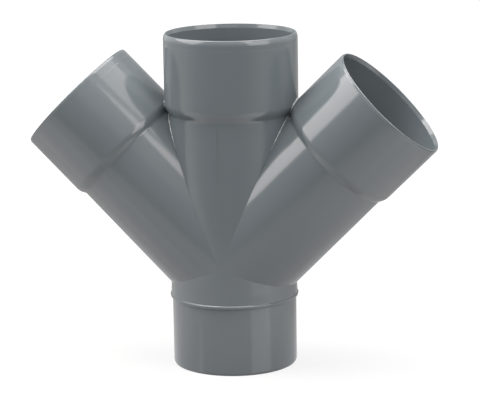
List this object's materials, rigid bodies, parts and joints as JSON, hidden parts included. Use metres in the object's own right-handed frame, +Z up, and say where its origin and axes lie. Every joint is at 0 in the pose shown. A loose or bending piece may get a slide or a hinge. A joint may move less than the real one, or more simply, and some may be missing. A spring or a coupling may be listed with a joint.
{
  "type": "double pipe tee",
  "caption": "Drain pipe fitting with a plain spigot at the foot, a socket straight above it and a branch socket swept up at 45 degrees on each side.",
  "frame": {"origin": "centre of the spigot's end face, which is the face it stands on", "axes": "+Z up the main line from the spigot to the run's socket, with the two branches in the XZ plane"},
  "size_m": [0.3626, 0.1174, 0.2949],
  "materials": {
    "pvc": "glossy as moulded"
  },
  "bodies": {
    "root": {"double_tee": "pvc"}
  },
  "joints": []
}
